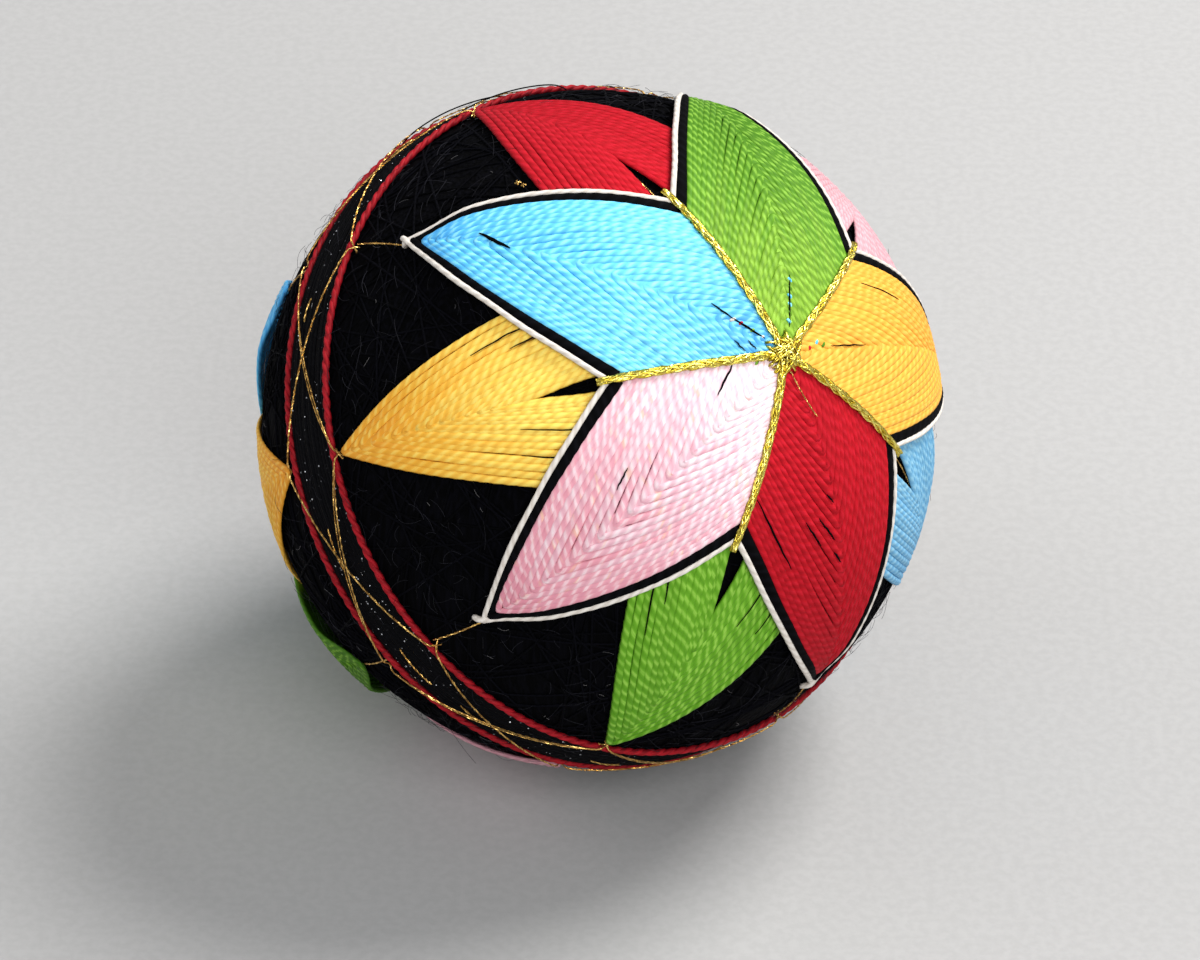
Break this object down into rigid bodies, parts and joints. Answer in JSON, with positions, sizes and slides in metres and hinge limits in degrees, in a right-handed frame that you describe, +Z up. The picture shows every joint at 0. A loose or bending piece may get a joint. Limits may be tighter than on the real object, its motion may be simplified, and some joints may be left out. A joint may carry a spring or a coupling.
{
  "type": "temari ball",
  "caption": "Decorative thread-wound ball with stitched petals of coloured thread round each pole, gold ribs between them and a corded band round its middle.",
  "frame": {"origin": "centre of the box round the ball, at the bottom, on the plane of the small flat spot that it rests on", "axes": "+Z up from the flat spot; the axis through the two thread flowers leans over, with its northern flower turned up and towards -Y and +X, and -Y is the side that faces the viewer"},
  "size_m": [0.0776, 0.0778, 0.0763],
  "materials": {
    "ball_black": "matt wound sewing thread, black",
    "black": "soft cotton thread, black, with some metallic glint in the band",
    "white": "soft twisted cotton thread, off-white",
    "blue": "soft twisted cotton thread with a light sheen, sky blue",
    "pink": "soft twisted cotton thread, pink that shades from near white to dusty rose",
    "red": "soft twisted cotton thread with a light sheen, crimson",
    "yellow": "soft twisted cotton thread with a light sheen, golden yellow",
    "green": "soft twisted cotton thread with a light sheen, leaf green",
    "gold": "metallic embroidery thread, gold, sparkling"
  },
  "bodies": {
    "root": {"mari_ball": "ball_black", "north_upper_petal_blue": "blue", "north_lower_petal_blue": "blue", "north_upper_petal_pink": "pink", "north_lower_petal_pink": "pink", "north_upper_petal_red": "red", "north_lower_petal_red": "red", "north_upper_petal_yellow": "yellow", "north_lower_petal_yellow": "yellow", "north_upper_petal_green": "green", "north_lower_petal_green": "green", "north_gold_star": "gold", "band_cord_north": "red", "south_upper_petal_blue": "blue", "south_lower_petal_blue": "blue", "south_upper_petal_green": "green", "south_lower_petal_green": "green", "south_upper_petal_red": "red", "south_lower_petal_red": "red", "south_upper_petal_yellow": "yellow", "south_lower_petal_yellow": "yellow", "south_upper_petal_pink": "pink", "south_lower_petal_pink": "pink", "south_gold_star": "gold", "band_cord_south": "red", "north_white_round": "white", "north_black_round": "black", "band_black": "black"}
  },
  "joints": []
}
